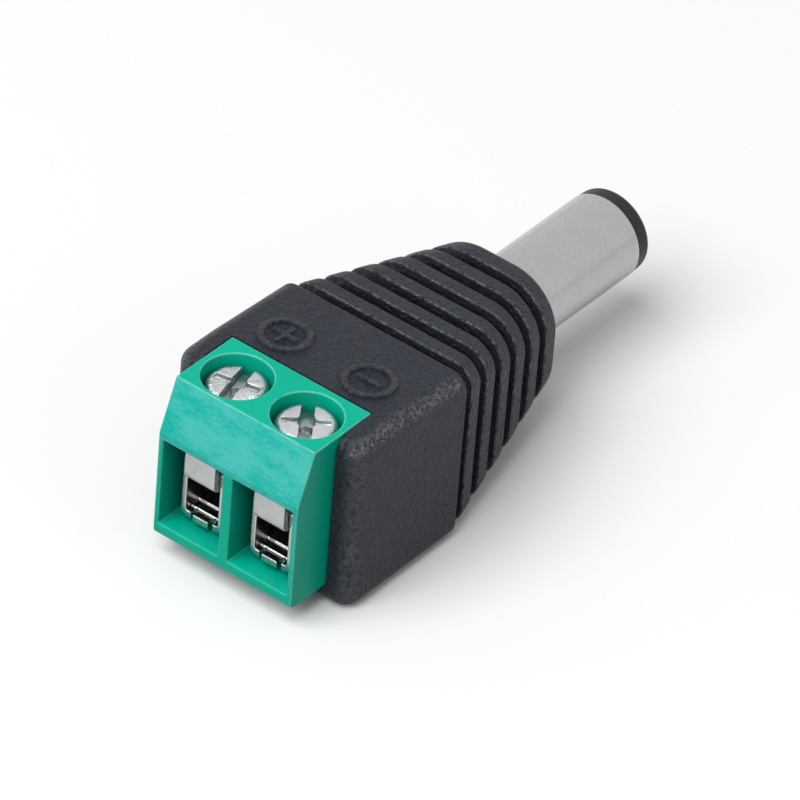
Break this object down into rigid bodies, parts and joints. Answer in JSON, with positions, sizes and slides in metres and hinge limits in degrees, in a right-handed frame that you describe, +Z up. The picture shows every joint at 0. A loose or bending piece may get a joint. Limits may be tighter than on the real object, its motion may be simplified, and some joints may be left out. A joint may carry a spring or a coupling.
{
  "type": "dc barrel plug",
  "caption": "Straight dc barrel plug with a ribbed moulded body and a two-pole screw clamp block for bare wires at its back.",
  "frame": {"origin": "on the barrel's axis at the moulded body's nose face, where the metal barrel comes out", "axes": "+X along the barrel to its tip, +Z up towards the screw heads, +Y towards the positive pole"},
  "size_m": [0.0354, 0.0134, 0.012],
  "materials": {
    "black_moulding": "fine leathery grain, matt",
    "green_moulding": "smooth satin, faint drag marks",
    "cage_plating": "bright nickel plate",
    "screw_plating": "bright zinc plate",
    "strip_plating": "matt tin plate",
    "barrel_metal": "nickel plate, finely turned",
    "tip_plastic": "satin black",
    "socket_metal": "thin nickel over brass",
    "washer_plastic": "plain",
    "solder": "bright, slightly frosted"
  },
  "bodies": {
    "plug": {"housing": "black_moulding", "terminal_block": "green_moulding", "contact_plus": "strip_plating", "contact_minus": "strip_plating", "sleeve": "barrel_metal", "tip_insulator": "tip_plastic", "centre_contact": "socket_metal", "rear_insulator": "washer_plastic", "sleeve_lug": "socket_metal", "solder_plus": "solder", "solder_minus": "solder"},
    "clamp_screw_plus": {"screw_plus": "screw_plating"},
    "clamp_screw_minus": {"screw_minus": "screw_plating"},
    "clamp_cage_plus": {"cage_plus": "cage_plating"},
    "clamp_cage_minus": {"cage_minus": "cage_plating"}
  },
  "joints": [
    {"name": "screw_plus_turn", "type": "hinge", "parent": "plug", "child": "clamp_screw_plus", "pos_m": [-0.0208, 0.0025, 0.004], "axis": [0, 0, 1], "range_deg": [-1600, 0]},
    {"name": "cage_plus_rise", "type": "slide", "parent": "plug", "child": "clamp_cage_plus", "axis": [0, 0, 1], "range_m": [0, 0.002]},
    {"name": "screw_minus_turn", "type": "hinge", "parent": "plug", "child": "clamp_screw_minus", "pos_m": [-0.0208, -0.0025, 0.004], "axis": [0, 0, 1], "range_deg": [-1600, 0]},
    {"name": "cage_minus_rise", "type": "slide", "parent": "plug", "child": "clamp_cage_minus", "axis": [0, 0, 1], "range_m": [0, 0.002]}
  ],
  "couplings": [
    {"joint": "screw_plus_turn", "follows": "cage_plus_rise", "rad_per_m": -13963},
    {"joint": "screw_minus_turn", "follows": "cage_minus_rise", "rad_per_m": -13963}
  ]
}
